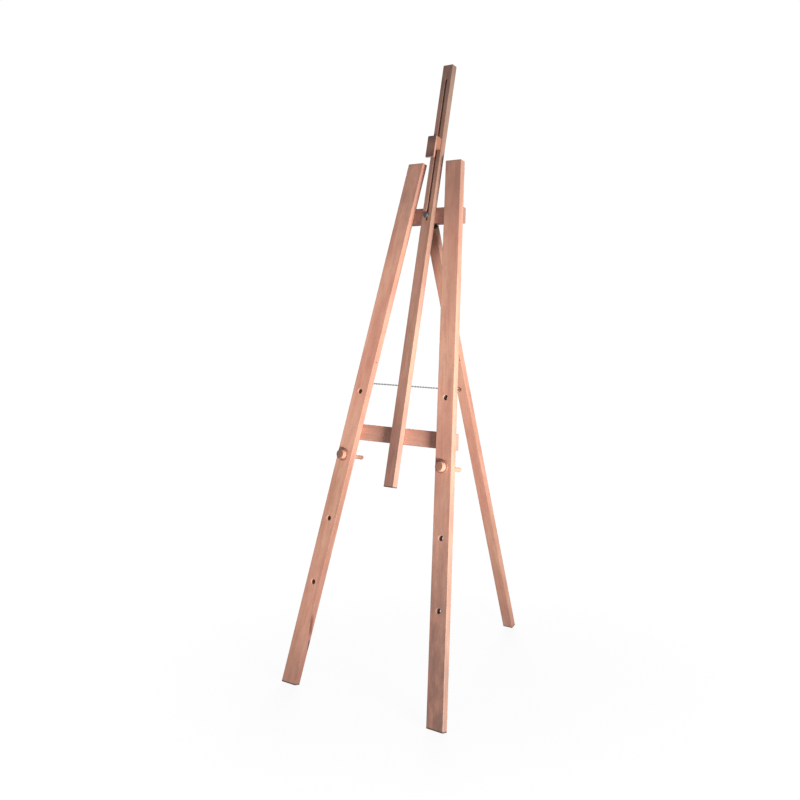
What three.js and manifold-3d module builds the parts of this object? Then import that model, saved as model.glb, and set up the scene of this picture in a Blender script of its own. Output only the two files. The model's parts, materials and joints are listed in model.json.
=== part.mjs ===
// Wooden artist easel: an A-frame of two splayed front legs, a slotted mast that slides on
// the upper crossbar and carries a canvas holder, and a rear leg on a butt hinge, checked by a chain.
// Millimetres, +Z up, +X to the right, +Y to the back. The origin is on the floor, at the
// centre of the easel's footprint.
import * as THREE from 'three';
import { mergeVertices } from 'three/addons/utils/BufferGeometryUtils.js';
import Module from 'manifold-3d';

const wasm = await Module();
wasm.setup();

// ---------------------------------------------------------------- driving dimensions
const GAP = 0.3; // between pieces that touch
const LEAN = THREE.MathUtils.degToRad(13.7); // front frame, back from upright
const OPEN = THREE.MathUtils.degToRad(33); // rear leg, away from the front frame
const BOARD = 20; // thickness of every board

const LEG_WIDTH = 50;
const LEG_RISE = 1486; // bottom edge to top edge, measured up the frame
const LEG_HALF_BOTTOM = 249; // leg centreline to the middle of the frame, at the foot
const LEG_HALF_TOP = 63; // the same at the top

const BAR_HEIGHT = 44;
const BAR_INSET = 5; // each end stops this far inside the leg's outer edge
const UPPER_BAR_Z = 1339;
const LOWER_BAR_Z = 722;

const MAST_WIDTH = 32;
const MAST_BOTTOM = 580;
const MAST_LENGTH = 1186;
const SLOT_WIDTH = 7;
const SLOT_BOTTOM = 1319;
const SLOT_TOP = 1726;

const PEG_HOLE_TOP = 834; // highest of the peg holes
const PEG_HOLE_PITCH = 181.4;
const PEG_HOLE_COUNT = 4;
const PEG_HOLE_IN_USE = 1; // counted from the highest, which is 0
const PEG_HOLE_RADIUS = 6.75;
const PEG_HOLE_MOUTH = 8.3; // radius of the chamfered mouth
const PEG_RADIUS = 6.25;
const PEG_TAIL = 80; // how far the dowel reaches behind the front face
const PEG_SOCKET = 13; // depth of the dowel in the head
const PEG_FLANGE_RADIUS = 17.5;
const PEG_KNOB_RADIUS = 13;
const PEG_HEAD_LENGTH = 20;

const BOLT_Z = 1334; // the mast's clamping bolt, through the upper crossbar
const BOLT_RADIUS = 3;
const BOLT_HOLE_RADIUS = 3.4;
const BOLT_HEAD_RADIUS = 6.5;
const BOLT_HEAD_HEIGHT = 4;
const WASHER_RADIUS = 9;
const WASHER_THICKNESS = 1.6;
const NUT_HEIGHT = 9;
const NUT_HUB_RADIUS = 6;
const NUT_SPAN = 15; // tip of a wing to the bolt's axis
const BOLT_END = 4; // thread standing out of a wing nut

const HOLDER_WIDTH = 28;
const HOLDER_TOP = 1551;
const HOLDER_BLOCK_HEIGHT = 32;
const HOLDER_BLOCK_DEPTH = 19;
const HOLDER_PLATE_HEIGHT = 60;
const HOLDER_PLATE_THICKNESS = 7;
const HOLDER_POCKET_DEPTH = 6; // sinks the bolt's head under the plate

const REAR_WIDTH = 34;
const REAR_FOOT_CLEAR = 0; // height of the rear leg's lowest edge

const HINGE_LENGTH = 25;
const HINGE_LEAF_DEPTH = 17;
const HINGE_LEAF_THICKNESS = 1.5;
const HINGE_LEAF_GAP = 0.5; // between the closed leaves
const KNUCKLE_RADIUS = 2.75;
const KNUCKLE_BORE = 1.7;
const KNUCKLE_MIDDLE = 12; // length of the leg leaf's knuckle
const KNUCKLE_GAP = 0.4;
const PIN_RADIUS = 1.35;

const WOOD_SCREW = { length: 30, radius: 2, head: 4, headHeight: 2.6 };
const HINGE_SCREW = { length: 16, radius: 1.5, head: 3, headHeight: 1.5 };

const EYE_RING_RADIUS = 4.6; // centreline of the screw eye's ring
const EYE_WIRE_RADIUS = 1.2;
const EYE_STANDOFF = 7; // ring centre to the wood
const EYE_SHANK_DEPTH = 13;
const EYE_FRONT_Z = 861; // on the left leg
const EYE_REAR_DROP = 486; // down the rear leg from the hinge axis
const CHAIN_RADIUS = 2.4;

const SPARE_HOLE_RADIUS = 2.2; // unused pilot holes in the left leg and the rear leg
const SPARE_HOLE_DEPTH = 8;
const SPARE_HOLE_FRONT_Z = 919;
const SPARE_HOLE_REAR_DROP = 393;
const SPARE_HOLE_REAR_X = 13.5;

const TURNED = 28; // sides of a turned wooden part
const DRILLED = 24; // sides of a peg hole
const FITTING = 16; // sides of a bolt, a washer or a knuckle
const SCREW = 12; // sides of a screw or its pilot hole

// ---------------------------------------------------------------- solids
/** A closed geometry as a solid, with its faces turned outwards. */
function solid(geometry) {
  const bare = geometry.clone();
  bare.deleteAttribute('normal');
  bare.deleteAttribute('uv');
  const merged = mergeVertices(bare, 1e-4);
  const points = Float32Array.from(merged.attributes.position.array);
  const corners = merged.index.array;
  const triangles = [];
  let volume = 0;
  const at = (i) => new THREE.Vector3().fromArray(points, 3 * i);
  for (let i = 0; i < corners.length; i += 3) {
    const [a, b, c] = [corners[i], corners[i + 1], corners[i + 2]];
    if (a === b || b === c || c === a) continue;
    triangles.push(a, b, c);
    volume += at(a).dot(at(b).cross(at(c)));
  }
  if (volume < 0) triangles.reverse();
  const mesh = new wasm.Mesh({
    numProp: 3,
    vertProperties: points,
    triVerts: Uint32Array.from(triangles),
  });
  return new wasm.Manifold(mesh);
}

/** A solid back as a geometry. */
function geometryOf(body) {
  const mesh = body.getMesh();
  const geometry = new THREE.BufferGeometry();
  geometry.setAttribute('position', new THREE.BufferAttribute(mesh.vertProperties, 3));
  geometry.setIndex(new THREE.BufferAttribute(mesh.triVerts, 1));
  const faceted = geometry.toNonIndexed();
  faceted.computeVertexNormals();
  return faceted;
}

/** A flat board: an outline of [x, z] corners, from y = front to y = front + depth. */
function board(outline, front, depth) {
  const shape = new THREE.Shape(outline.map(([x, z]) => new THREE.Vector2(x, z)));
  const geometry = new THREE.ExtrudeGeometry(shape, { depth, bevelEnabled: false });
  return solid(geometry.rotateX(Math.PI / 2).translate(0, front + depth, 0));
}

function rectangle(x0, x1, z0, z1) {
  return [
    [x0, z0],
    [x1, z0],
    [x1, z1],
    [x0, z1],
  ];
}

/** A straight rod or drill along Y. */
function rodY(x, z, radius, y0, y1, sides = SCREW) {
  const geometry = new THREE.CylinderGeometry(radius, radius, y1 - y0, sides);
  return solid(geometry.translate(x, (y0 + y1) / 2, z));
}

/** A cone along Y, radius0 at y0 and radius1 at y1. */
function coneY(x, z, y0, radius0, y1, radius1, sides = SCREW) {
  const geometry = new THREE.CylinderGeometry(radius1, radius0, y1 - y0, sides);
  return solid(geometry.translate(x, (y0 + y1) / 2, z));
}

/** A straight rod or drill along Z. */
function rodZ(x, y, radius, z0, z1, sides = SCREW) {
  const geometry = new THREE.CylinderGeometry(radius, radius, z1 - z0, sides);
  return solid(geometry.rotateX(Math.PI / 2).translate(x, y, (z0 + z1) / 2));
}

/** A straight rod or drill along X. */
function rodX(y, z, radius, x0, x1, sides = FITTING) {
  const geometry = new THREE.CylinderGeometry(radius, radius, x1 - x0, sides);
  return solid(geometry.rotateZ(Math.PI / 2).translate((x0 + x1) / 2, y, z));
}

/** A turned part about Y: [radius, y] points that start and end on the axis or close. */
function turned(profile, sides) {
  const points = profile.map(([r, y]) => new THREE.Vector2(r, y));
  return solid(new THREE.LatheGeometry(points, sides));
}

// ---------------------------------------------------------------- scene helpers
const wood = (color) => new THREE.MeshStandardMaterial({ color, roughness: 0.6, metalness: 0 });
const steel = () =>
  new THREE.MeshStandardMaterial({ color: 0x8e8f92, roughness: 0.35, metalness: 0.9 });

function add(parent, name, body, material) {
  const mesh = new THREE.Mesh(geometryOf(body), material);
  mesh.name = name;
  parent.add(mesh);
  return mesh;
}

const easel = new THREE.Group();
const frame = new THREE.Group(); // x across, y from the legs' front face back, z up the slope
easel.add(frame);

// ---------------------------------------------------------------- front legs
/** Distance from the middle of the frame to a leg's centreline, z up the frame. */
function legHalf(z) {
  return LEG_HALF_BOTTOM + ((LEG_HALF_TOP - LEG_HALF_BOTTOM) * z) / LEG_RISE;
}

const SPLAY = Math.atan2(LEG_HALF_BOTTOM - LEG_HALF_TOP, LEG_RISE);
const LEG_HALF_WIDTH = LEG_WIDTH / 2 / Math.cos(SPLAY); // along the level ends

function pegHoleZ(index) {
  return PEG_HOLE_TOP - index * PEG_HOLE_PITCH;
}

/** Where the screws of one crossbar end go, as [x, z] on the side given by sign. */
function screwPlaces(sign, barZ) {
  const spread = 11;
  const rise = 10;
  return [
    [sign * (legHalf(barZ) - spread), barZ + rise],
    [sign * (legHalf(barZ) + spread), barZ - rise],
  ];
}

const BAR_BACK = 2 * BOARD + GAP;
const SCREW_TIP = BAR_BACK - WOOD_SCREW.length;

function frontLeg(sign) {
  const bottom = sign * legHalf(0);
  const top = sign * legHalf(LEG_RISE);
  const outline = [
    [bottom - LEG_HALF_WIDTH, 0],
    [bottom + LEG_HALF_WIDTH, 0],
    [top + LEG_HALF_WIDTH, LEG_RISE],
    [top - LEG_HALF_WIDTH, LEG_RISE],
  ];
  let leg = board(outline, 0, BOARD);
  const chamfer = PEG_HOLE_MOUTH - PEG_HOLE_RADIUS;
  for (let i = 0; i < PEG_HOLE_COUNT; i += 1) {
    const z = pegHoleZ(i);
    const x = sign * legHalf(z);
    leg = leg.subtract(rodY(x, z, PEG_HOLE_RADIUS, -1, BOARD + 1, DRILLED));
    leg = leg.subtract(coneY(x, z, -1, PEG_HOLE_MOUTH + 1, chamfer, PEG_HOLE_RADIUS, DRILLED));
    leg = leg.subtract(
      coneY(x, z, BOARD - chamfer, PEG_HOLE_RADIUS, BOARD + 1, PEG_HOLE_MOUTH + 1, DRILLED),
    );
  }
  for (const barZ of [UPPER_BAR_Z, LOWER_BAR_Z]) {
    for (const [x, z] of screwPlaces(sign, barZ)) {
      leg = leg.subtract(rodY(x, z, WOOD_SCREW.radius + GAP, SCREW_TIP - GAP, BOARD + 1));
    }
  }
  return leg;
}

const frontEye = { x: -legHalf(EYE_FRONT_Z), z: EYE_FRONT_Z };

function leftLeg() {
  const pilot = rodY(
    frontEye.x,
    frontEye.z,
    EYE_WIRE_RADIUS + GAP,
    BOARD - EYE_SHANK_DEPTH - GAP,
    BOARD + 1,
  );
  const innerFace = -legHalf(SPARE_HOLE_FRONT_Z) + LEG_HALF_WIDTH;
  const spare = rodX(
    BOARD / 2,
    SPARE_HOLE_FRONT_Z,
    SPARE_HOLE_RADIUS,
    innerFace - SPARE_HOLE_DEPTH,
    innerFace + SPARE_HOLE_DEPTH,
  );
  return frontLeg(-1).subtract(pilot).subtract(spare);
}

add(frame, 'left_leg', leftLeg(), wood(0xdba285));
add(frame, 'right_leg', frontLeg(1), wood(0xdba285));

// ---------------------------------------------------------------- crossbars
const HINGE_SCREW_X = 7.5;
const HINGE_SCREW_Y = BAR_BACK - 9;
const BAR_BOTTOM = UPPER_BAR_Z - BAR_HEIGHT / 2;

function countersink(x, z) {
  const depth = WOOD_SCREW.headHeight + GAP;
  const hole = rodY(x, z, WOOD_SCREW.radius + GAP, BOARD, BAR_BACK + 1);
  const mouth = coneY(
    x,
    z,
    BAR_BACK - depth,
    WOOD_SCREW.radius + GAP,
    BAR_BACK + 0.01,
    WOOD_SCREW.head + GAP,
  );
  return hole.add(mouth);
}

/** A crossbar across the backs of both legs, its ends cut parallel to them. */
function crossbar(z) {
  const low = z - BAR_HEIGHT / 2;
  const high = z + BAR_HEIGHT / 2;
  const lowReach = legHalf(low) + LEG_HALF_WIDTH - BAR_INSET;
  const highReach = legHalf(high) + LEG_HALF_WIDTH - BAR_INSET;
  const outline = [
    [-lowReach, low],
    [lowReach, low],
    [highReach, high],
    [-highReach, high],
  ];
  let bar = board(outline, BOARD + GAP, BOARD);
  for (const sign of [-1, 1]) {
    for (const [x, screwZ] of screwPlaces(sign, z)) {
      bar = bar.subtract(countersink(x, screwZ));
    }
  }
  return bar;
}

function upperCrossbar() {
  let bar = crossbar(UPPER_BAR_Z);
  bar = bar.subtract(rodY(0, BOLT_Z, BOLT_HOLE_RADIUS, BOARD, BAR_BACK + 1));
  for (const x of [-HINGE_SCREW_X, HINGE_SCREW_X]) {
    const reach = HINGE_SCREW.length - HINGE_LEAF_THICKNESS;
    const pilot = rodZ(x, HINGE_SCREW_Y, HINGE_SCREW.radius + GAP, BAR_BOTTOM - 1, BAR_BOTTOM + reach);
    bar = bar.subtract(pilot);
  }
  return bar;
}

add(frame, 'upper_crossbar', upperCrossbar(), wood(0xb98470));
add(frame, 'lower_crossbar', crossbar(LOWER_BAR_Z), wood(0xd09578));

/** A countersunk screw about Y, its head's flat face at y = 0 and its tip at y = -length. */
function screw({ length, radius, head, headHeight }) {
  const point = 4;
  return turned(
    [
      [0, -length],
      [radius, -length + point],
      [radius, -headHeight],
      [head, -0.2],
      [head, 0],
      [0, 0],
    ],
    SCREW,
  );
}

for (const [label, barZ] of [
  ['upper', UPPER_BAR_Z],
  ['lower', LOWER_BAR_Z],
]) {
  for (const [side, sign] of [
    ['left', -1],
    ['right', 1],
  ]) {
    screwPlaces(sign, barZ).forEach(([x, z], index) => {
      const name = `${label}_crossbar_screw_${side}_${index + 1}`;
      const mesh = add(frame, name, screw(WOOD_SCREW), steel());
      mesh.position.set(x, BAR_BACK, z);
    });
  }
}

// ---------------------------------------------------------------- mast
const MAST_TOP = MAST_BOTTOM + MAST_LENGTH;

function mast() {
  const half = MAST_WIDTH / 2;
  const body = board(rectangle(-half, half, MAST_BOTTOM, MAST_TOP), GAP, BOARD - GAP);
  const r = SLOT_WIDTH / 2;
  const slot = new THREE.Shape();
  slot.moveTo(-r, SLOT_BOTTOM + r);
  slot.absarc(0, SLOT_BOTTOM + r, r, Math.PI, 2 * Math.PI);
  slot.lineTo(r, SLOT_TOP - r);
  slot.absarc(0, SLOT_TOP - r, r, 0, Math.PI);
  slot.closePath();
  const depth = BOARD + 2;
  const cutter = new THREE.ExtrudeGeometry(slot, { depth, bevelEnabled: false, curveSegments: 8 });
  return body.subtract(solid(cutter.rotateX(Math.PI / 2).translate(0, BOARD + 1, 0)));
}

add(frame, 'mast', mast(), wood(0xb5826c));

// ---------------------------------------------------------------- bolts, washers and wing nuts
/** A domed bolt along Y, its head in front of y = under, its plain end at y = end. */
function bolt(x, z, under, end, headRadius, headHeight) {
  const tip = 1;
  const steps = 4;
  const profile = [[0, end]];
  profile.push([BOLT_RADIUS - tip, end]);
  profile.push([BOLT_RADIUS, end - tip]);
  profile.push([BOLT_RADIUS, under]);
  profile.push([headRadius, under]);
  for (let i = 0; i <= steps; i += 1) {
    const angle = (i / steps) * (Math.PI / 2);
    const rim = 1;
    const y = under - rim - (headHeight - rim) * Math.sin(angle);
    profile.push([i === steps ? 0 : headRadius * Math.cos(angle), y]);
  }
  return turned(profile, FITTING).translate([x, 0, z]);
}

function washer(z, y0) {
  const ring = rodY(0, z, WASHER_RADIUS, y0, y0 + WASHER_THICKNESS, 2 * FITTING);
  const hole = rodY(0, z, BOLT_HOLE_RADIUS, y0 - 1, y0 + WASHER_THICKNESS + 1, FITTING);
  return ring.subtract(hole);
}

/** A wing nut about Y, seated at y = 0 with its wings towards +Y. */
function wingNut() {
  const hub = turned(
    [
      [0, 0],
      [NUT_HUB_RADIUS, 0],
      [NUT_HUB_RADIUS, NUT_HEIGHT * 0.55],
      [NUT_HUB_RADIUS * 0.8, NUT_HEIGHT],
      [0, NUT_HEIGHT],
    ],
    FITTING,
  );
  const wing = new THREE.Shape();
  wing.moveTo(1.5, 1);
  wing.lineTo(NUT_HUB_RADIUS + 1.5, 1.6);
  wing.quadraticCurveTo(NUT_SPAN, 4, NUT_SPAN, 10);
  wing.absarc(NUT_SPAN - 3, 11.5, 3, 0, Math.PI * 0.9);
  wing.quadraticCurveTo(NUT_HUB_RADIUS + 2, 8, 1.5, NUT_HEIGHT - 1);
  wing.closePath();
  const thickness = 2.4;
  const plate = new THREE.ExtrudeGeometry(wing, {
    depth: thickness,
    bevelEnabled: false,
    curveSegments: 4,
  }).translate(0, 0, -thickness / 2);
  const right = solid(plate);
  const left = solid(plate.clone().rotateY(Math.PI));
  const bore = rodY(0, 0, BOLT_HOLE_RADIUS, -1, NUT_HEIGHT + 8, FITTING);
  return hub.add(right).add(left).subtract(bore);
}

/** A bolt with its back washer and wing nut, against a back face at y = back. */
function clamp(prefix, z, head, back, nutTurn) {
  const nutSeat = back + GAP + WASHER_THICKNESS + GAP;
  const end = nutSeat + NUT_HEIGHT + BOLT_END;
  add(frame, `${prefix}_bolt`, bolt(0, z, head.under, end, head.radius, head.height), steel());
  add(frame, `${prefix}_back_washer`, washer(z, back + GAP), steel());
  const nut = add(frame, `${prefix}_wing_nut`, wingNut(), steel());
  nut.position.set(0, nutSeat, z);
  nut.rotation.y = nutTurn;
}

const FRONT_WASHER_Y = -WASHER_THICKNESS;
const MAST_HEAD = { under: FRONT_WASHER_Y - GAP, radius: BOLT_HEAD_RADIUS, height: BOLT_HEAD_HEIGHT };
add(frame, 'mast_front_washer', washer(BOLT_Z, FRONT_WASHER_Y), steel());
clamp('mast', BOLT_Z, MAST_HEAD, BAR_BACK, 0);

// ---------------------------------------------------------------- canvas holder
const HOLDER_BOLT_Z = HOLDER_TOP - HOLDER_BLOCK_HEIGHT / 2;
const BLOCK_FRONT = -HOLDER_BLOCK_DEPTH;

function holderBlock() {
  const half = HOLDER_WIDTH / 2;
  const outline = rectangle(-half, half, HOLDER_TOP - HOLDER_BLOCK_HEIGHT, HOLDER_TOP);
  const pocket = rodY(0, HOLDER_BOLT_Z, BOLT_HEAD_RADIUS + 0.5, BLOCK_FRONT - 1,
    BLOCK_FRONT + HOLDER_POCKET_DEPTH);
  const hole = rodY(0, HOLDER_BOLT_Z, BOLT_HOLE_RADIUS, BLOCK_FRONT - 1, 1);
  return board(outline, BLOCK_FRONT, HOLDER_BLOCK_DEPTH).subtract(pocket).subtract(hole);
}

function holderPlate() {
  const half = HOLDER_WIDTH / 2;
  const outline = rectangle(-half, half, HOLDER_TOP - HOLDER_PLATE_HEIGHT, HOLDER_TOP);
  const front = BLOCK_FRONT - GAP - HOLDER_PLATE_THICKNESS;
  return board(outline, front, HOLDER_PLATE_THICKNESS);
}

add(frame, 'holder_block', holderBlock(), wood(0xc98a6c));
add(frame, 'holder_plate', holderPlate(), wood(0x8a6250));
const HOLDER_HEAD = {
  under: BLOCK_FRONT + HOLDER_POCKET_DEPTH - GAP,
  radius: BOLT_HEAD_RADIUS,
  height: BOLT_HEAD_HEIGHT,
};
clamp('holder', HOLDER_BOLT_Z, HOLDER_HEAD, BOARD, Math.PI / 2);

// ---------------------------------------------------------------- canvas pegs
/** The turned head: a flange against the leg and a rounded knob in front, bored for the dowel. */
function pegHead() {
  const flange = 7;
  const cove = 2.4;
  const round = 3;
  const neck = PEG_KNOB_RADIUS - 0.6;
  const profile = [[0, -GAP]];
  profile.push([PEG_FLANGE_RADIUS - 1, -GAP]);
  profile.push([PEG_FLANGE_RADIUS, -GAP - 1]);
  profile.push([PEG_FLANGE_RADIUS, -flange + 1.5]);
  profile.push([PEG_FLANGE_RADIUS - 1.5, -flange]);
  profile.push([neck, -flange - 0.6]);
  profile.push([neck, -flange - cove + 0.6]);
  profile.push([PEG_KNOB_RADIUS, -flange - cove - 0.4]);
  const steps = 4;
  for (let i = 0; i <= steps; i += 1) {
    const angle = (i / steps) * (Math.PI / 2);
    const r = PEG_KNOB_RADIUS - round + round * Math.cos(angle);
    profile.push([r, -PEG_HEAD_LENGTH + round - round * Math.sin(angle)]);
  }
  profile.push([0, -PEG_HEAD_LENGTH - 0.6]);
  const socket = rodY(0, 0, PEG_RADIUS + GAP, -PEG_SOCKET - GAP, 1, TURNED);
  return turned(profile, TURNED).subtract(socket);
}

function pegDowel() {
  const chamfer = 1.5;
  return turned(
    [
      [0, -PEG_SOCKET],
      [PEG_RADIUS - chamfer, -PEG_SOCKET],
      [PEG_RADIUS, -PEG_SOCKET + chamfer],
      [PEG_RADIUS, PEG_TAIL - chamfer],
      [PEG_RADIUS - chamfer, PEG_TAIL],
      [0, PEG_TAIL],
    ],
    TURNED,
  );
}

for (const [side, sign] of [
  ['left', -1],
  ['right', 1],
]) {
  const z = pegHoleZ(PEG_HOLE_IN_USE);
  const x = sign * legHalf(z);
  add(frame, `${side}_peg_head`, pegHead(), wood(0xc98e72)).position.set(x, 0, z);
  add(frame, `${side}_peg_dowel`, pegDowel(), wood(0xd9a98c)).position.set(x, 0, z);
}

// ---------------------------------------------------------------- rear leg and its hinge
// The hinge stands between the crossbar's underside and the leg's top end, its knuckle behind
// both. The leg's group turns about the pin: at 0 the leg would lie along the frame.
const LEAF_TOP = BAR_BOTTOM - GAP;
const HINGE_Z = LEAF_TOP - HINGE_LEAF_THICKNESS - HINGE_LEAF_GAP / 2;
const HINGE_Y = BAR_BACK + KNUCKLE_RADIUS + GAP;
const REAR_TOP = -HINGE_LEAF_GAP / 2 - HINGE_LEAF_THICKNESS - GAP;
const REAR_BACK = BAR_BACK - HINGE_Y;
const REAR_FRONT = REAR_BACK - BOARD;

const rear = new THREE.Group();
rear.position.set(0, HINGE_Y, HINGE_Z);
rear.rotation.x = OPEN;
frame.add(rear);

/** Knuckles about X as [x0, x1] spans, joined to a leaf that reaches forward from them. */
function hingeLeaf(spans, leafZ0, leafZ1) {
  const front = BAR_BACK - HINGE_LEAF_DEPTH - HINGE_Y;
  const half = HINGE_LENGTH / 2;
  const plate = new THREE.BoxGeometry(HINGE_LENGTH, -front, leafZ1 - leafZ0);
  let leaf = solid(plate.translate(0, front / 2, (leafZ0 + leafZ1) / 2));
  const clear = KNUCKLE_RADIUS + GAP;
  leaf = leaf.subtract(rodX(0, 0, clear, -half - 1, half + 1));
  for (const [x0, x1] of spans) {
    const web = new THREE.BoxGeometry(x1 - x0, clear + 1, leafZ1 - leafZ0);
    web.translate((x0 + x1) / 2, -(clear + 1) / 2, (leafZ0 + leafZ1) / 2);
    leaf = leaf.add(solid(web)).add(rodX(0, 0, KNUCKLE_RADIUS, x0, x1));
  }
  leaf = leaf.subtract(rodX(0, 0, KNUCKLE_BORE, -half - 1, half + 1));
  return leaf;
}

/** A hinge screw's countersunk hole through a leaf, its mouth facing the closed gap. */
function leafHole(x, y, mouthZ, direction) {
  const { radius, head, headHeight } = HINGE_SCREW;
  const near = mouthZ - direction * 0.01;
  const far = mouthZ + direction * (headHeight + GAP);
  const cone = new THREE.CylinderGeometry(
    direction > 0 ? radius + GAP : head + GAP,
    direction > 0 ? head + GAP : radius + GAP,
    Math.abs(far - near),
    SCREW,
  );
  cone.rotateX(Math.PI / 2).translate(x, y, (near + far) / 2);
  return solid(cone).add(rodZ(x, y, radius + GAP, Math.min(near, far) + 0.02, Math.max(near, far)));
}

const halfHinge = HINGE_LENGTH / 2;
const halfMiddle = KNUCKLE_MIDDLE / 2;
const outerKnuckles = [
  [-halfHinge, -halfMiddle - KNUCKLE_GAP],
  [halfMiddle + KNUCKLE_GAP, halfHinge],
];
const middleKnuckle = [[-halfMiddle, halfMiddle]];
const closedHalf = HINGE_LEAF_GAP / 2;
const screwY = HINGE_SCREW_Y - HINGE_Y;

function crossbarLeaf() {
  let leaf = hingeLeaf(outerKnuckles, closedHalf, closedHalf + HINGE_LEAF_THICKNESS);
  for (const x of [-HINGE_SCREW_X, HINGE_SCREW_X]) {
    leaf = leaf.subtract(leafHole(x, screwY, closedHalf, 1));
  }
  return leaf.subtract(rodX(0, 0, KNUCKLE_RADIUS + GAP, -halfMiddle - KNUCKLE_GAP,
    halfMiddle + KNUCKLE_GAP));
}

function legLeaf() {
  let leaf = hingeLeaf(middleKnuckle, -closedHalf - HINGE_LEAF_THICKNESS, -closedHalf);
  for (const x of [-HINGE_SCREW_X, HINGE_SCREW_X]) {
    leaf = leaf.subtract(leafHole(x, screwY, -closedHalf, -1));
  }
  return leaf;
}

function hingePin() {
  const collar = halfHinge + GAP;
  const profile = [
    [0, -collar - 1.2],
    [PIN_RADIUS + 0.9, -collar - 0.9],
    [PIN_RADIUS + 0.9, -collar],
    [PIN_RADIUS, -collar],
    [PIN_RADIUS, collar],
    [PIN_RADIUS + 0.9, collar],
    [PIN_RADIUS + 0.9, collar + 0.9],
    [0, collar + 1.2],
  ];
  return turned(profile, FITTING);
}

const crossbarLeafMesh = add(frame, 'hinge_crossbar_leaf', crossbarLeaf(), steel());
crossbarLeafMesh.position.set(0, HINGE_Y, HINGE_Z);
const pin = add(frame, 'hinge_pin', hingePin(), steel());
pin.position.set(0, HINGE_Y, HINGE_Z);
pin.rotation.z = Math.PI / 2;
add(rear, 'hinge_leg_leaf', legLeaf(), steel());

[-HINGE_SCREW_X, HINGE_SCREW_X].forEach((x, index) => {
  const up = add(frame, `hinge_crossbar_screw_${index + 1}`, screw(HINGE_SCREW), steel());
  up.rotation.x = -Math.PI / 2; // head down, tip into the crossbar
  up.position.set(x, HINGE_SCREW_Y, HINGE_Z + closedHalf);
  const down = add(rear, `hinge_leg_screw_${index + 1}`, screw(HINGE_SCREW), steel());
  down.rotation.x = Math.PI / 2; // head up, tip into the leg's end
  down.position.set(x, screwY, -closedHalf);
});

// The rear leg reaches the floor with its front lower edge, square-cut like the other feet.
const FRAME_DROP = BOARD * Math.sin(LEAN); // the front legs stand on their back lower edges
const TILT = OPEN - LEAN; // rear leg from upright
const hingeHeight = HINGE_Z * Math.cos(LEAN) - HINGE_Y * Math.sin(LEAN) + FRAME_DROP;
const REAR_BOTTOM =
  -(hingeHeight - REAR_FOOT_CLEAR + REAR_FRONT * Math.sin(TILT)) / Math.cos(TILT);

function rearLeg() {
  const half = REAR_WIDTH / 2;
  let leg = board(rectangle(-half, half, REAR_BOTTOM, REAR_TOP), REAR_FRONT, BOARD);
  for (const x of [-HINGE_SCREW_X, HINGE_SCREW_X]) {
    const pilotEnd = -closedHalf - HINGE_SCREW.length - GAP;
    leg = leg.subtract(rodZ(x, screwY, HINGE_SCREW.radius + GAP, pilotEnd, REAR_TOP + 1));
  }
  leg = leg.subtract(rodY(0, -EYE_REAR_DROP, EYE_WIRE_RADIUS + GAP, REAR_FRONT - 1,
    REAR_FRONT + EYE_SHANK_DEPTH + GAP));
  return leg.subtract(rodY(SPARE_HOLE_REAR_X, -SPARE_HOLE_REAR_DROP, SPARE_HOLE_RADIUS,
    REAR_FRONT - 1, REAR_FRONT + SPARE_HOLE_DEPTH));
}

add(rear, 'rear_leg', rearLeg(), wood(0xcf987e));

// ---------------------------------------------------------------- chain and its screw eyes
/** A screw eye about Y: ring centred at y = standoff, shank to y = -depth. */
function screwEye() {
  const ring = new THREE.TorusGeometry(EYE_RING_RADIUS, EYE_WIRE_RADIUS, 8, 20);
  ring.rotateY(Math.PI / 2).translate(0, EYE_STANDOFF, 0);
  const shank = rodY(0, 0, EYE_WIRE_RADIUS, -EYE_SHANK_DEPTH, EYE_STANDOFF - EYE_RING_RADIUS, 8);
  return solid(ring).add(shank);
}

const frontEyeMesh = add(frame, 'chain_eye_front', screwEye(), steel());
frontEyeMesh.position.set(frontEye.x, BOARD, frontEye.z);
const rearEyeMesh = add(rear, 'chain_eye_rear', screwEye(), steel());
rearEyeMesh.rotation.x = Math.PI; // ring towards the front
rearEyeMesh.position.set(0, REAR_FRONT, -EYE_REAR_DROP);

/** The taut chain as one rod through the links' envelope, from ring to ring. */
function chainRod(from, to) {
  const along = to.clone().sub(from).normalize();
  const setBack = EYE_RING_RADIUS + EYE_WIRE_RADIUS + CHAIN_RADIUS + GAP;
  const start = from.clone().addScaledVector(along, setBack);
  const end = to.clone().addScaledVector(along, -setBack);
  const sides = 8;
  const section = new THREE.Shape();
  for (let i = 0; i < sides; i += 1) {
    const angle = (2 * Math.PI * i) / sides;
    const point = [CHAIN_RADIUS * Math.cos(angle), CHAIN_RADIUS * Math.sin(angle)];
    if (i === 0) section.moveTo(...point);
    else section.lineTo(...point);
  }
  section.closePath();
  const path = new THREE.LineCurve3(start, end);
  return solid(new THREE.ExtrudeGeometry(section, { steps: 16, bevelEnabled: false, extrudePath: path }));
}

easel.updateMatrixWorld(true);
const ringCentre = new THREE.Vector3(0, EYE_STANDOFF, 0);
const chainFrom = frontEyeMesh.localToWorld(ringCentre.clone());
const chainTo = rearEyeMesh.localToWorld(ringCentre.clone());
add(frame, 'stay_chain', chainRod(frame.worldToLocal(chainFrom), frame.worldToLocal(chainTo)), steel());

// ---------------------------------------------------------------- stand it on the floor
frame.rotation.x = -LEAN;
const rearReach =
  HINGE_Z * Math.sin(LEAN) +
  HINGE_Y * Math.cos(LEAN) -
  REAR_BOTTOM * Math.sin(TILT) +
  REAR_BACK * Math.cos(TILT);
frame.position.set(0, -rearReach / 2, FRAME_DROP);

export default easel;
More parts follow.
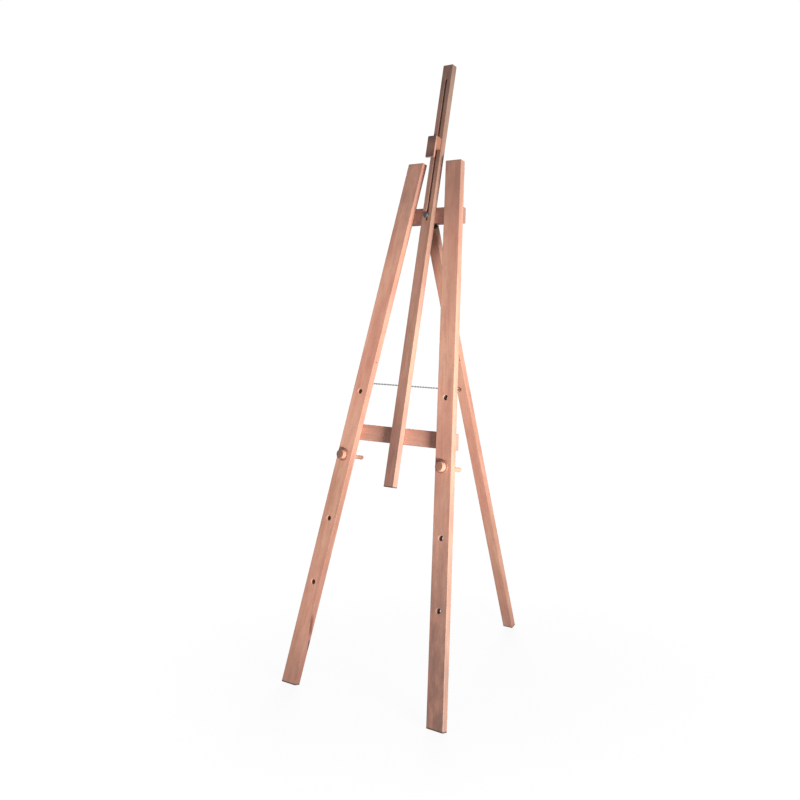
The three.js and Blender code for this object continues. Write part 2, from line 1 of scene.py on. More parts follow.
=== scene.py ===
"""A folding artist's easel in beech, dressed on its CAD frame.

Metres, +Z up, +X to the easel's right, +Y to the back. Boards, pegs and fittings are built in
millimetres on two sloping axes, the front frame's and the rear leg's, and placed by a matrix.
"""
import json
from math import atan2, cos, pi, radians, sin, sqrt, tau

import bmesh
import bpy
from mathutils import Matrix, Vector
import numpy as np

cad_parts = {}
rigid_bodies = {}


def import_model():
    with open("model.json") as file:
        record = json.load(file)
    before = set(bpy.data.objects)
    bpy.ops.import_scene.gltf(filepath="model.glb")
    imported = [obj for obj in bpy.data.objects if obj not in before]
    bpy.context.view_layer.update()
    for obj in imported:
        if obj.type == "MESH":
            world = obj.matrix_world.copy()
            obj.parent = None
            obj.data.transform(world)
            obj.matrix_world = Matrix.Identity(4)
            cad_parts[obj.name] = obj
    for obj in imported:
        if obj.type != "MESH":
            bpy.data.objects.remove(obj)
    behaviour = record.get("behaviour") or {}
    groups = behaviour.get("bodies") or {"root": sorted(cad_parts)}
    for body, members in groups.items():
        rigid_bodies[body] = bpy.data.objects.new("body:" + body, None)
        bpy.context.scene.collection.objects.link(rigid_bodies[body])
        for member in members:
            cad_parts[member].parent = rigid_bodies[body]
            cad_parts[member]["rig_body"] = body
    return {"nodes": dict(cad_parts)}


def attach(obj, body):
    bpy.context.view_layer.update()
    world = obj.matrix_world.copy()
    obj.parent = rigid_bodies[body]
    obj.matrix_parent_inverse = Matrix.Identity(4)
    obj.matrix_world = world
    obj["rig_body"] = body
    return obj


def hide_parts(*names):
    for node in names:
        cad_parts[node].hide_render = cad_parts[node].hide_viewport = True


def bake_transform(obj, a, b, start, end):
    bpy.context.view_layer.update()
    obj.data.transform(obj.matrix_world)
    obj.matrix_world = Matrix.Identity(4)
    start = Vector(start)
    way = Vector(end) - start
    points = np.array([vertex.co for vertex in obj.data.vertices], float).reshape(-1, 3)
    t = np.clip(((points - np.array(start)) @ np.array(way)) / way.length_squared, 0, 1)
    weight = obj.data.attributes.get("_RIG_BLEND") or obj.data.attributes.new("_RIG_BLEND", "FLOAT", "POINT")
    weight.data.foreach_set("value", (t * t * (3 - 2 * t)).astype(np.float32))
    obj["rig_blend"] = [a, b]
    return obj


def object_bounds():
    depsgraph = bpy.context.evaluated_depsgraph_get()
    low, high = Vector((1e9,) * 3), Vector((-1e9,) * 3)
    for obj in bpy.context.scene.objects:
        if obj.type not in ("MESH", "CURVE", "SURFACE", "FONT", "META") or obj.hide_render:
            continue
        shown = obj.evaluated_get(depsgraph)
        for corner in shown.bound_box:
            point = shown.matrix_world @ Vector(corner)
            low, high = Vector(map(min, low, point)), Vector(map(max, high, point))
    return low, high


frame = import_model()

CAD_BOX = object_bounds()
NODES = frame["nodes"]

# ------------------------------------------------------------------ dimensions, millimetres
TO_METRES = 0.001
GAP = 0.3
LEAN = radians(13.7)
OPEN = radians(33)
BOARD = 20
LEG_RISE = 1486
LEG_HALF_BOTTOM = 249
LEG_HALF_TOP = 63
LEG_WIDTH = 50
UPPER_BAR_Z = 1339
LOWER_BAR_Z = 722
BAR_BACK = 2 * BOARD + GAP
UPPER_BAR_HALF_HEIGHT = 22
BAR_BOTTOM = UPPER_BAR_Z - UPPER_BAR_HALF_HEIGHT
SLOT = {"width": 7, "bottom": 1319, "top": 1726}
PEG_HOLES = [834 - 181.4 * i for i in range(4)]
PEG_Z = PEG_HOLES[1]
PEG_HOLE_RADIUS = 6.75
PEG_HOLE_EASE = 1.55
BOLT_Z = 1334
BOLT_RADIUS = 3
BOLT_HOLE_RADIUS = 3.4
WASHER = {"radius": 9, "thickness": 1.6}
NUT_HEIGHT = 9
HOLDER_Z = 1535
BLOCK_FRONT = -19
HEAD_POCKET = {"radius": 7.0, "depth": 6}
KNUCKLE_RADIUS = 2.75
LEAF_THICKNESS = 1.5
LEAF_GAP = 0.25
HINGE_Y = BAR_BACK + KNUCKLE_RADIUS + GAP
HINGE_Z = BAR_BOTTOM - GAP - LEAF_THICKNESS - LEAF_GAP
REAR_FRONT = BAR_BACK - HINGE_Y - BOARD
HINGE_SCREW_Y = BAR_BACK - 9
HINGE_SCREWS_X = (-7.5, 7.5)
EYE_FRONT_Z = 861
EYE_REAR_DROP = 486
EYE_STANDOFF = 7
EYE_HOLE = {"radius": 1.5, "mouth": 2.0, "outside": 2.4, "depth": 13.3}
SPARE_HOLE_RADIUS = 2.2
SPARE_HOLE_LIP = SPARE_HOLE_RADIUS + 0.3
SPARE_HOLE_DEPTH = 8
SPARE_HOLE_FRONT_Z = 919
SPARE_HOLE_REAR = (13.5, -393)
SCREW_STAGGER = {"across": 11, "up": 10}
WOOD_SCREW = {"length": 30, "radius": 2, "head": 4, "sink": 2.6}
WOOD_SCREW_HOLE = 2.3
HINGE_SCREW = {"length": 16, "radius": 1.5, "head": 3, "sink": 1.5}
HINGE_SCREW_HOLE = 1.8

SLOPE = (
    Matrix.Translation((0, CAD_BOX[0][1], TO_METRES * BOARD * sin(LEAN)))
    @ Matrix.Rotation(-LEAN, 4, "X")
    @ Matrix.Scale(TO_METRES, 4)
)
REAR = SLOPE @ Matrix.Translation((0, HINGE_Y, HINGE_Z)) @ Matrix.Rotation(OPEN, 4, "X")


def leg_half(z):
    """From the middle of the frame to a front leg's centreline, z up the frame."""
    return LEG_HALF_BOTTOM + (LEG_HALF_TOP - LEG_HALF_BOTTOM) * z / LEG_RISE


def screw_places(sign, bar_z):
    """Where the two screws of one crossbar end go, as (x, z)."""
    across, up = SCREW_STAGGER["across"], SCREW_STAGGER["up"]
    return [
        (sign * (leg_half(bar_z) - across), bar_z + up),
        (sign * (leg_half(bar_z) + across), bar_z - up),
    ]


def srgb(red, green, blue):
    """A display colour, 0 to 255, as a linear one with alpha."""
    def linear(value):
        c = value / 255
        return c / 12.92 if c <= 0.04045 else ((c + 0.055) / 1.055) ** 2.4

    return (linear(red), linear(green), linear(blue), 1.0)


# ------------------------------------------------------------------ materials
class Surface:
    """A procedural material. Most methods add one node and return its output."""

    def __init__(self, name):
        self.material = bpy.data.materials.new(name)
        self.material.use_nodes = True
        self.tree = self.material.node_tree
        self.shader = self.tree.nodes["Principled BSDF"]

    def node(self, kind, **settings):
        """A new node with its settings."""
        node = self.tree.nodes.new("ShaderNode" + kind)
        for key, value in settings.items():
            setattr(node, key, value)
        return node

    def feed(self, socket, value):
        """Links an output to a socket, or sets the socket to a plain value."""
        if isinstance(value, bpy.types.NodeSocket):
            self.tree.links.new(value, socket)
        else:
            socket.default_value = value

    def math(self, operation, *values, clamp=False):
        node = self.node("Math", operation=operation, use_clamp=clamp)
        for socket, value in zip(node.inputs, values):
            self.feed(socket, value)
        return node.outputs[0]

    def vector(self, operation, *values):
        node = self.node("VectorMath", operation=operation)
        for socket, value in zip(node.inputs, values):
            self.feed(socket, value)
        return node.outputs[0]

    def attribute(self, name, output="Vector"):
        return self.node("Attribute", attribute_name=name).outputs[output]

    def split(self, vector):
        node = self.node("SeparateXYZ")
        self.feed(node.inputs[0], vector)
        return node.outputs

    def join(self, x, y, z):
        node = self.node("CombineXYZ")
        for socket, value in zip(node.inputs, (x, y, z)):
            self.feed(socket, value)
        return node.outputs[0]

    def placed(self, place, scale, seed):
        """A place stretched by scale and moved by seed, for a pattern to read."""
        return self.vector("MULTIPLY_ADD", place, scale, (seed * 7.31, seed * 3.17, seed * 5.83))

    def noise(self, place, scale, seed=0.0, detail=2.0, roughness=0.5, output=0):
        """Soft noise, scale patches to the metre along each axis. Output 1 is a vector of it."""
        node = self.node("TexNoise")
        self.feed(node.inputs["Vector"], self.placed(place, scale, seed))
        node.inputs["Scale"].default_value = 1.0
        node.inputs["Detail"].default_value = detail
        node.inputs["Roughness"].default_value = roughness
        return node.outputs[output]

    def cells(self, place, scale, seed=0.0):
        """The distance to the nearest of many scattered points."""
        node = self.node("TexVoronoi")
        self.feed(node.inputs["Vector"], self.placed(place, scale, seed))
        node.inputs["Scale"].default_value = 1.0
        return node.outputs["Distance"]

    def ramp(self, value, low, high, to_low=0.0, to_high=1.0):
        """A smooth step from to_low to to_high while value goes from low to high."""
        node = self.node("MapRange", interpolation_type="SMOOTHSTEP")
        for socket, item in zip(node.inputs, (value, low, high, to_low, to_high)):
            self.feed(socket, item)
        return node.outputs[0]

    def mix(self, factor, a, b, how="MIX"):
        node = self.node("Mix", data_type="RGBA", blend_type=how)
        self.feed(node.inputs[0], factor)
        self.feed(node.inputs[6], a)
        self.feed(node.inputs[7], b)
        return node.outputs[2]

    def tint(self, color, stain):
        """A colour multiplied by another."""
        return self.mix(1.0, color, stain, "MULTIPLY")

    def size(self, value):
        """A value without its sign."""
        return self.math("ABSOLUTE", value)

    def finish(self, color, roughness, height, strength, distance):
        """Feeds the shader and gives the material."""
        bump = self.node("Bump")
        bump.inputs["Strength"].default_value = strength
        bump.inputs["Distance"].default_value = distance
        self.feed(bump.inputs["Height"], height)
        self.feed(self.shader.inputs["Base Color"], color)
        self.feed(self.shader.inputs["Roughness"], roughness)
        self.feed(self.shader.inputs["Normal"], bump.outputs[0])
        return self.material


BEECH = {
    "light": srgb(232, 175, 150),
    "mid": srgb(214, 154, 131),
    "dark": srgb(184, 122, 102),
    "fleck": srgb(138, 86, 68),
    "end": srgb(226, 174, 150),
    "turned_end": srgb(158, 108, 88),
    "worn": srgb(150, 102, 84),
    # Handling grime, and painted shade where the light falls off towards the ends.
    "grime_and_shade": srgb(112, 92, 84),
    # Painted shade inside holes and the slot.
    "bore": srgb(96, 58, 44),
    # Painted shade at the lower ends, like a contact shadow.
    "tip": srgb(60, 50, 48),
    "scuff": srgb(136, 62, 48),
    "bruise": srgb(74, 70, 76),
}


# A year's growth in metres, and how dark its late wood is.
YEAR_RING = 0.0026
LATE_WOOD = 0.26
# How squarely a face has to cut the grain to look sawn.
CUT_FACE = (0.45, 0.9)
# Metres from a peg's axis to its flange's rim, and along the axis to its knob's face.
FLANGE_RIM = (0.0162, 0.0171)
KNOB_FACE = (-0.0206, -0.0195)


def length_of(s, x, y):
    """The length of (x, y)."""
    squares = s.math("ADD", s.math("MULTIPLY", x, x), s.math("MULTIPLY", y, y))
    return s.math("SQRT", squares)


def growth_rings(s, grain, across, depth, along, seed):
    """How near each point is to the dark late wood of its year's ring, 0 to 1."""
    wander = s.vector("SUBTRACT", s.noise(grain, (14, 14, 2.2), seed, 2, output=1), (0.5, 0.5, 0.5))
    drift = s.split(s.vector("MULTIPLY", wander, (0.012, 0.012, 0)))
    pith = (0.035 * cos(seed * 2.1), 0.05 + 0.02 * sin(seed * 1.3))
    ring_x = s.math("ADD", s.math("ADD", across, drift[0]), pith[0])
    ring_y = s.math("ADD", s.math("ADD", depth, drift[1]), pith[1])
    radius = s.math("MULTIPLY_ADD", along, 0.0035, length_of(s, ring_x, ring_y))
    year = s.math("FRACT", s.math("DIVIDE", radius, YEAR_RING))
    return s.math("POWER", year, 3.0)


def turned_wear_and_shade(s, grain, across, depth, along, seed):
    """How dark a peg is: painted shade on the flange's rim, toning down its highlight, and wear from hands,
    most on the knob's face.
    """
    # Painted shade on the flange's rim, toning down its highlight.
    rim = s.ramp(length_of(s, across, depth), *FLANGE_RIM, 0.0, 2.0)
    knob = s.ramp(along, *KNOB_FACE, 0.9, 0.0)
    spots = s.ramp(s.noise(grain, (120, 120, 40), seed + 7, 3), 0.5, 0.8, 0.0, 0.3)
    return s.math("MAXIMUM", s.math("MAXIMUM", rim, knob), spots)


def board_wear(s, grain, across, depth, ends, half, seed):
    """How worn a board is along its edges, and how deep inside a drilled hole a point is."""
    from_narrow = s.math("SUBTRACT", half[0], s.size(across))
    from_broad = s.math("SUBTRACT", half[1], s.size(depth))
    from_end = s.math("MINIMUM", ends[0], ends[1])
    nearest = s.math("MINIMUM", from_narrow, from_broad)
    second = s.math("MINIMUM", s.math("MAXIMUM", from_narrow, from_broad), from_end)
    inset = s.math("MAXIMUM", nearest, second)
    ragged = s.noise(grain, (260, 260, 60), seed + 7, 4, 0.65)
    reach = s.math("MULTIPLY_ADD", ragged, 0.006, -0.0016)
    edge = s.math("SUBTRACT", 1.0, s.math("DIVIDE", inset, reach), clamp=True)
    return edge, s.math("MINIMUM", nearest, from_end)


def end_grime_and_shade(s, grain, ends, low, high, seed):
    """How much the ends darken: handling grime, and painted shade where the light falls off. low and high
    are each (strength, reach).
    """
    low_grey = s.math("MULTIPLY", s.ramp(ends[0], 0.0, low[1], 1.0, 0.0), low[0])
    high_grey = s.math("MULTIPLY", s.ramp(ends[1], 0.0, high[1], 1.0, 0.0), high[0])
    blotch = s.ramp(s.noise(grain, (40, 40, 14), seed + 8, 4, 0.6), 0.25, 0.75, 0.55, 1.25)
    return s.math("MULTIPLY", s.math("MAXIMUM", low_grey, high_grey), blotch, clamp=True)


def add_scuff(s, color, across, depth, ends, streaks, place):
    """A thin rubbed line that slants over one narrow face, with a short bruise below it."""
    above = s.math("SUBTRACT", ends[0], place[1])
    from_edge = s.size(s.math("SUBTRACT", across, place[0]))
    from_line = s.size(s.math("MULTIPLY_ADD", above, 0.2, depth))
    apart = s.math("MULTIPLY_ADD", from_line, 0.5, from_edge)
    apart = s.math("MULTIPLY_ADD", s.math("SUBTRACT", streaks, 0.5), 0.004, apart)
    rubbed = s.ramp(s.size(s.math("SUBTRACT", above, 0.015)), 0.012, 0.045, 0.7, 0.0)
    rubbed = s.math("MULTIPLY", s.ramp(apart, 0.0015, 0.0045, 1.0, 0.0), rubbed)
    color = s.mix(rubbed, color, BEECH["scuff"])
    bruised = s.ramp(s.size(s.math("ADD", above, 0.045)), 0.008, 0.026, 0.9, 0.0)
    bruised = s.math("MULTIPLY", s.ramp(apart, 0.001, 0.0032, 1.0, 0.0), bruised)
    return s.mix(bruised, color, BEECH["bruise"])


def beech(
    name, seed, half, tone=(1, 1, 1), low=(0.35, 0.05), high=(0.35, 0.05),
    tip=0.0, face=None, side=None, scuff=None, bore=0.72, turned=False,
):
    """Oiled beech: growth rings, fibres and ray flecks along the grain, paler on cut ends.

    half is half the board's width and thickness in metres. low and high are how strongly and
    how far along the board's two ends darken, from handling grime and from painted shade where
    the light falls off. tip is how far painted shade darkens the lower end, like a contact
    shadow. face is painted shade on the two broad faces, and side tints the two narrow ones, at
    the lower and the upper end: painted light where it brightens them, and darker towards the
    bottom where it darkens them. scuff is the middle of a rubbed and bruised stretch of one edge,
    as (across, distance from the lower end). bore is how dark painted shade makes the insides of
    holes.
    """
    s = Surface(name)
    grain = s.attribute("grain")
    ends = s.split(s.attribute("ends"))
    cut = s.attribute("cut", "Fac")
    across, depth, along = s.split(grain)

    hue = s.ramp(s.noise(grain, (9, 9, 3.1), seed + 11, 2), 0.3, 0.7)
    late = growth_rings(s, grain, across, depth, along, seed)
    patches = s.noise(grain, (26, 26, 5), seed + 1, 3, 0.55)
    clouds = s.noise(grain, (70, 70, 22), seed + 2, 4, 0.6)
    fibres = s.noise(grain, (1500, 1500, 18), seed + 3, 3, 0.6)
    streaks = s.noise(grain, (420, 420, 5), seed + 4, 2, 0.6)
    flecks = s.ramp(s.cells(grain, (640, 640, 80), seed + 5), 0.12, 0.2, 1.0, 0.0)
    pores = s.ramp(s.cells(grain, (2600, 2600, 500), seed + 6), 0.15, 0.45, 1.0, 0.0)
    end_grain = s.ramp(cut, *CUT_FACE)

    color = s.mix(s.ramp(patches, 0.32, 0.68), BEECH["mid"], BEECH["light"])
    color = s.mix(s.ramp(clouds, 0.42, 0.75, 0.0, 0.35), color, BEECH["dark"])
    color = s.mix(s.math("MULTIPLY", late, LATE_WOOD), color, BEECH["dark"])
    color = s.mix(s.ramp(streaks, 0.5, 0.8, 0.0, 0.45), color, BEECH["dark"])
    color = s.mix(s.ramp(fibres, 0.52, 0.75, 0.0, 0.3), color, BEECH["worn"])
    color = s.mix(s.math("MULTIPLY", flecks, 0.5), color, BEECH["fleck"])

    sawn = BEECH["turned_end" if turned else "end"]
    end_color = s.mix(s.math("MULTIPLY", late, 0.4), sawn, BEECH["worn"])
    end_color = s.mix(s.math("MULTIPLY", pores, 0.35), end_color, BEECH["fleck"])
    color = s.mix(end_grain, color, end_color)
    color = s.tint(color, s.mix(hue, (1.0, 0.95, 0.96, 1), (0.955, 1.0, 0.965, 1)))

    if turned:
        edge = turned_wear_and_shade(s, grain, across, depth, along, seed)
        narrow = 0.0
    else:
        edge, inside = board_wear(s, grain, across, depth, ends, half, seed)
        # Painted shade: the walls of holes and the slot darken with depth.
        color = s.mix(s.ramp(inside, 0.0005, 0.0032, 0.0, bore), color, BEECH["bore"])
        narrow = s.ramp(s.size(across), half[0] - 0.0012, half[0] - 0.0002)
    # Edge wear on boards; on a peg, also painted shade on the flange's rim.
    color = s.mix(s.math("MULTIPLY", edge, 0.42), color, BEECH["worn"])
    # Painted shade and handling grime: the ends darken, less on the narrow faces.
    grime_and_shade = end_grime_and_shade(s, grain, ends, low, high, seed)
    grime_and_shade = s.math("MULTIPLY", grime_and_shade, s.math("MULTIPLY_ADD", narrow, -0.55, 1.0))
    color = s.mix(grime_and_shade, color, BEECH["grime_and_shade"])
    if scuff:
        color = add_scuff(s, color, across, depth, ends, streaks, scuff)
    # Painted shade on the lower end, like the contact shadow at a foot.
    if tip:
        color = s.mix(s.ramp(ends[0], 0.4 * tip, tip, 0.85, 0.0), color, BEECH["tip"])
    # The side tint on the narrow faces: painted light where it brightens the lit sides, and darker towards
    # the bottom where it darkens them.
    if side:
        stain = s.mix(s.ramp(ends[0], 0.1, 1.25), (*side[0], 1.0), (*side[1], 1.0))
        color = s.mix(narrow, color, s.tint(color, stain))
    # Painted shade on the broad faces only, leaving the lit narrow edges pale.
    if face:
        broad = s.ramp(s.size(depth), 0.8 * half[1], 0.97 * half[1])
        color = s.mix(broad, color, s.tint(color, (*face, 1.0)))
    color = s.tint(color, (*tone, 1.0))

    rough = s.math("MULTIPLY_ADD", patches, 0.16, 0.40)
    rough = s.math("MULTIPLY_ADD", edge, -0.06, rough)
    rough = s.math("MULTIPLY_ADD", end_grain, 0.18, rough)
    height = s.math("MULTIPLY_ADD", flecks, -0.5, s.math("MULTIPLY", fibres, 0.8))
    height = s.math("MULTIPLY_ADD", late, 0.25, height)
    height = s.math("MULTIPLY_ADD", s.math("MULTIPLY", pores, cut), -0.6, height)
    if turned:
        lines = s.noise(s.join(0.0, 0.0, along), (1, 1, 1900), seed, 1)
        height = s.math("MULTIPLY_ADD", lines, 0.9, height)
    return s.finish(color, rough, height, 0.35, 0.00025)


METAL = {"bright": 0.42, "dull": 0.22, "worn": 0.55}
TARNISH = (0.20, 0.18, 0.14, 1)


def zinc(name, seed, shade=1.0, warmth=(1, 1, 1), dullness=0.22):
    """Zinc-plated steel, dulled in patches, with faint yellow passivation.

    shade makes it lighter or darker, warmth tints it, and dullness is its least roughness.
    """
    s = Surface(name)
    place = s.node("TexCoord").outputs["Object"]
    patches = s.noise(place, (260, 260, 260), seed, 4, 0.6)
    fine = s.noise(place, (2600, 2600, 2600), seed + 1, 3, 0.6)
    scuffs = s.noise(place, (3400, 500, 900), seed + 2, 2, 0.5)
    metal = {key: (*(shade * value * c for c in warmth), 1) for key, value in METAL.items()}
    color = s.mix(s.ramp(patches, 0.35, 0.65), metal["dull"], metal["bright"])
    color = s.mix(s.ramp(fine, 0.55, 0.75, 0.0, 0.35), color, TARNISH)
    color = s.mix(s.ramp(scuffs, 0.6, 0.72, 0.0, 0.4), color, metal["worn"])
    rough = s.math("MULTIPLY_ADD", patches, 0.3, dullness)
    s.shader.inputs["Metallic"].default_value = 1.0
    height = s.math("MULTIPLY_ADD", scuffs, -0.5, fine)
    return s.finish(color, rough, height, 0.2, 0.00008)


# ------------------------------------------------------------------ mesh building
def mesh_object(name, bm):
    """A new object in the row frame from a bmesh, which is freed."""
    bmesh.ops.recalc_face_normals(bm, faces=bm.faces)
    mesh = bpy.data.meshes.new(name)
    bm.to_mesh(mesh)
    bm.free()
    obj = bpy.data.objects.new(name, mesh)
    bpy.context.scene.collection.objects.link(obj)
    return obj


def loft(bm, rings, closed=False):
    """Skins equal rings of points in order: with end caps, or closed round on itself."""
    layers = [[bm.verts.new(p) for p in ring] for ring in rings]
    pairs = list(zip(layers, layers[1:]))
    if closed:
        pairs.append((layers[-1], layers[0]))
    for a, b in pairs:
        count = len(a)
        for i in range(count):
            j = (i + 1) % count
            bm.faces.new((a[i], a[j], b[j], b[i]))
    if not closed:
        bm.faces.new(layers[0][::-1])
        bm.faces.new(layers[-1])
    return bm


def circle(radius, y, sides, x=0.0, z=0.0):
    """A ring of points about an axis along Y."""
    angles = [tau * i / sides for i in range(sides)]
    return [(x + radius * cos(a), y, z + radius * sin(a)) for a in angles]


TINY_CAP = 0.02


def lathe(bm, profile, sides=48, x=0.0, z=0.0):
    """A turned solid about Y from [radius, y] points; radius 0 at an end becomes a small cap."""
    rings = [circle(max(radius, TINY_CAP), y, sides, x, z) for radius, y in profile]
    return loft(bm, rings)


def arc(radius, start, stop, steps, center=(0.0, 0.0)):
    """Points on an arc, as [u, v], from start to stop in degrees."""
    angles = [radians(start + (stop - start) * i / steps) for i in range(steps + 1)]
    return [(center[0] + radius * cos(a), center[1] + radius * sin(a)) for a in angles]


def tube(bm, path, radius, sides=12, closed=False):
    """Round wire along a path of points."""
    points = [Vector(p) for p in path]
    count = len(points)
    side = None
    rings = []
    for i, point in enumerate(points):
        before = points[(i - 1) % count] if closed or i else point
        after = points[(i + 1) % count] if closed or i < count - 1 else point
        along = (after - before).normalized()
        if side is None:
            side = along.orthogonal().normalized()
        side = (side - along * side.dot(along)).normalized()
        other = along.cross(side)
        angles = [tau * k / sides for k in range(sides)]
        rings.append([point + (side * cos(a) + other * sin(a)) * radius for a in angles])
    return loft(bm, rings, closed)


def shade(obj, angle=32):
    """Smooth faces with crisp edges, and flats kept flat beside their rounded rims."""
    mesh = obj.data
    mesh.polygons.foreach_set("use_smooth", [True] * len(mesh.polygons))
    mesh.set_sharp_from_angle(angle=radians(angle))
    weighted = obj.modifiers.new("flats", "WEIGHTED_NORMAL")
    weighted.keep_sharp = True
    weighted.weight = 100


def drill(bm, x, z, profile, matrix=SLOPE, sides=40):
    """Adds a drill bit about Y to the cutter: [radius, y] points, deepest or foremost first."""
    bit = lathe(bmesh.new(), profile, sides, x, z)
    bit.transform(matrix)
    add_to(bm, bit)


def add_to(bm, other):
    """Moves one bmesh's solids into another."""
    mesh = bpy.data.meshes.new("part")
    other.to_mesh(mesh)
    other.free()
    bm.from_mesh(mesh)
    bpy.data.meshes.remove(mesh)


def carve(obj, cutter):
    """Cuts a bmesh of solids out of an object."""
    tool = mesh_object("cutter", cutter)
    boolean = obj.modifiers.new("carve", "BOOLEAN")
    boolean.operation = "DIFFERENCE"
    boolean.solver = "EXACT"
    boolean.object = tool
    graph = bpy.context.evaluated_depsgraph_get()
    carved = bpy.data.meshes.new_from_object(obj.evaluated_get(graph))
    obj.modifiers.clear()
    obj.data = carved
    bpy.data.objects.remove(tool)


def wood_coordinates(obj, center, across, depth, along, end_planes=None):
    """Stores where each point lies in the wood, and how squarely each face cuts the grain."""
    mesh = obj.data
    grain = mesh.attributes.new("grain", "FLOAT_VECTOR", "POINT")
    ends = mesh.attributes.new("ends", "FLOAT_VECTOR", "POINT")
    places = []
    reaches = []
    for vertex in mesh.vertices:
        place = vertex.co - center
        places += [place.dot(across), place.dot(depth), place.dot(along)]
        if end_planes:
            reaches += [(point - vertex.co).dot(normal) for point, normal in end_planes] + [0.0]
        else:
            reaches += [1.0, 1.0, 0.0]
    grain.data.foreach_set("vector", places)
    ends.data.foreach_set("vector", reaches)
    cut = mesh.attributes.new("cut", "FLOAT", "FACE")
    cut.data.foreach_set("value", [abs(f.normal.dot(along)) for f in mesh.polygons])


def block(node):
    """A board's plain block: the hull of its CAD solid with flat faces."""
    bm = bmesh.new()
    for vertex in NODES[node].data.vertices:
        bm.verts.new(vertex.co)
    bmesh.ops.remove_doubles(bm, verts=bm.verts, dist=1e-5)
    bmesh.ops.convex_hull(bm, input=bm.verts)
    loose = [v for v in bm.verts if not v.link_faces]
    bmesh.ops.delete(bm, geom=loose, context="VERTS")
    bmesh.ops.dissolve_limit(bm, angle_limit=radians(2), verts=bm.verts, edges=bm.edges)
    return bm


def adopt(obj, node, material):
    """obj takes over from a CAD node: it rides on the same body and wears a finish."""
    obj.data.materials.clear()
    obj.data.materials.append(material)
    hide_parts(node)
    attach(obj, NODES[node]["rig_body"])
    return obj


def make_board(node, seed, drills=None, ease=1.2, slot="beech", **finish):
    """A planed board with eased edges, drilled by drills(cutter), in its own beech."""
    bm = block(node)
    faces = sorted(bm.faces, key=lambda f: f.calc_area())
    depth = faces[-1].normal.copy()
    longest = max(bm.edges, key=lambda e: e.calc_length())
    along = (longest.verts[1].co - longest.verts[0].co).normalized()
    if along.z < 0 or abs(along.x) > 0.9 and along.x < 0:
        along = -along
    across = along.cross(depth).normalized()
    center = sum((v.co for v in bm.verts), Vector()) / len(bm.verts)
    caps = [min(bm.faces, key=lambda f: f.normal.dot(along))]
    caps.append(max(bm.faces, key=lambda f: f.normal.dot(along)))
    end_planes = [(f.calc_center_median(), f.normal.copy()) for f in caps]
    half = [max((v.co - center).dot(axis) for v in bm.verts) for axis in (across, depth)]
    if node in ("left_leg", "right_leg"):
        half[0] = TO_METRES * LEG_WIDTH / 2
    bevel = {"segments": 3, "profile": 0.5, "affect": "EDGES"}
    bmesh.ops.bevel(bm, geom=bm.edges, offset=TO_METRES * ease, **bevel)
    obj = mesh_object(node + "_board", bm)
    if drills:
        cutter = bmesh.new()
        drills(cutter)
        carve(obj, cutter)
    wood_coordinates(obj, center, across, depth, along, end_planes)
    shade(obj)
    return adopt(obj, node, beech(node + "_beech", seed, half, **finish))


# ------------------------------------------------------------------ boards
def eased_hole(radius, ease, y0, y1, steps=4):
    """A drill profile along Y through a board, its two mouths rounded over."""
    rim = []
    for i in range(steps + 1):
        u = 1 - i / steps
        rim.append((radius + ease - sqrt(ease ** 2 - (ease * u) ** 2), ease * (1 - u)))
    front = [(r, y0 + d) for r, d in rim]
    back = [(r, y1 - d) for r, d in reversed(rim)]
    lip = radius + ease
    return [(lip, y0 - 1)] + front + back + [(lip, y1 + 1)]


def eye_hole(face_y, inward):
    """A drill profile for a screw eye's shank, into a face at face_y, deepest point first."""
    bore, mouth = EYE_HOLE["radius"], EYE_HOLE["mouth"]
    profile = [(bore, face_y + inward * EYE_HOLE["depth"]), (bore, face_y + inward * 0.4)]
    return profile + [(mouth, face_y), (EYE_HOLE["outside"], face_y - inward)]


def drill_spare_hole(cutter):
    """The unused pilot hole in the inner edge of the left leg."""
    splay = atan2(LEG_HALF_BOTTOM - LEG_HALF_TOP, LEG_RISE)
    face_x = -leg_half(SPARE_HOLE_FRONT_Z) + 0.5 * LEG_WIDTH / cos(splay)
    stand = Matrix.Translation((face_x, BOARD / 2, SPARE_HOLE_FRONT_Z))
    profile = [(SPARE_HOLE_RADIUS, -SPARE_HOLE_DEPTH), (SPARE_HOLE_RADIUS, -0.3)]
    profile += [(SPARE_HOLE_LIP, 0), (SPARE_HOLE_LIP, 8)]
    drill(cutter, 0, 0, profile, SLOPE @ stand @ Matrix.Rotation(-pi / 2, 4, "Z"), 24)


def leg_drills(sign):
    """Peg holes, screw holes and, on the left leg, the chain's eye and a spare hole."""
    def drills(cutter):
        for z in PEG_HOLES:
            profile = eased_hole(PEG_HOLE_RADIUS, PEG_HOLE_EASE, 0, BOARD)
            drill(cutter, sign * leg_half(z), z, profile, sides=56)
        for bar_z in (UPPER_BAR_Z, LOWER_BAR_Z):
            for x, z in screw_places(sign, bar_z):
                deepest = BAR_BACK - WOOD_SCREW["length"] - GAP
                profile = [(WOOD_SCREW_HOLE, deepest), (WOOD_SCREW_HOLE, BOARD + 1)]
                drill(cutter, x, z, profile, sides=16)
        if sign < 0:
            drill(cutter, -leg_half(EYE_FRONT_Z), EYE_FRONT_Z, eye_hole(BOARD, -1), sides=20)
            drill_spare_hole(cutter)

    return drills


